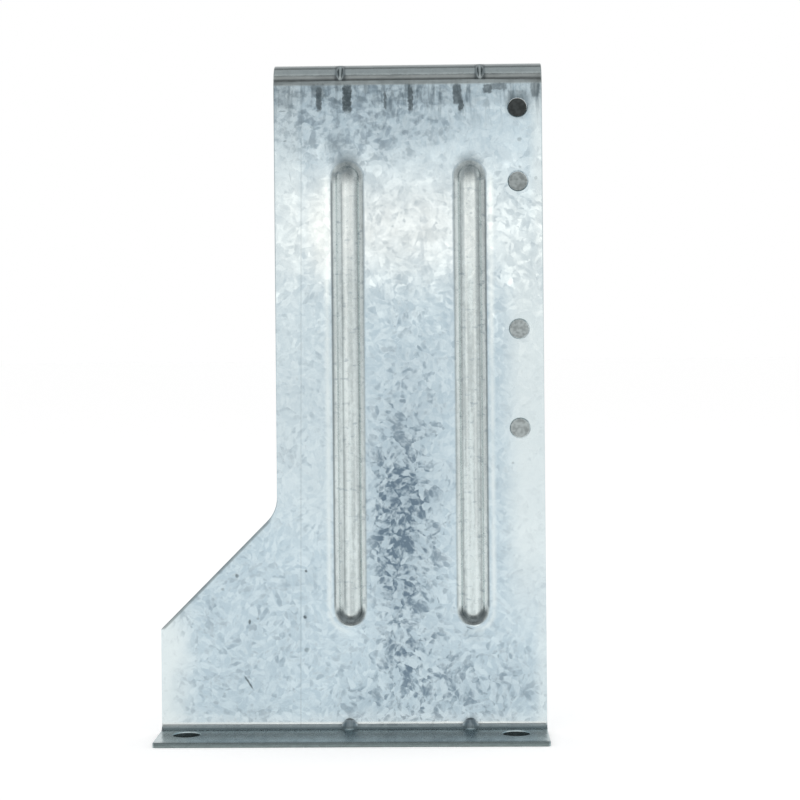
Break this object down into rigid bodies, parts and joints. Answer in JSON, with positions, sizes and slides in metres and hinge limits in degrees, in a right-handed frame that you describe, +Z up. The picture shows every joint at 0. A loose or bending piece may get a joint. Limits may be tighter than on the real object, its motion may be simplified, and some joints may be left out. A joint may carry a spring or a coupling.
{
  "type": "stamped metal bracket",
  "caption": "Upright support bracket folded from one zinc-coated steel sheet: pressed stiffening ribs, stepped web, foot flange with screw holes, top flange and a column of fixing holes.",
  "frame": {"origin": "midway between the two foot screw holes, on the underside of the foot flange", "axes": "+Z up the web, -Y to the front where the foot flange points, +X along the foot to the straight side"},
  "size_m": [0.115, 0.04, 0.2],
  "materials": {
    "zinc_coated_steel": "hot-dip galvanised with a visible spangle"
  },
  "bodies": {
    "root": {"bracket": "zinc_coated_steel"}
  },
  "joints": []
}
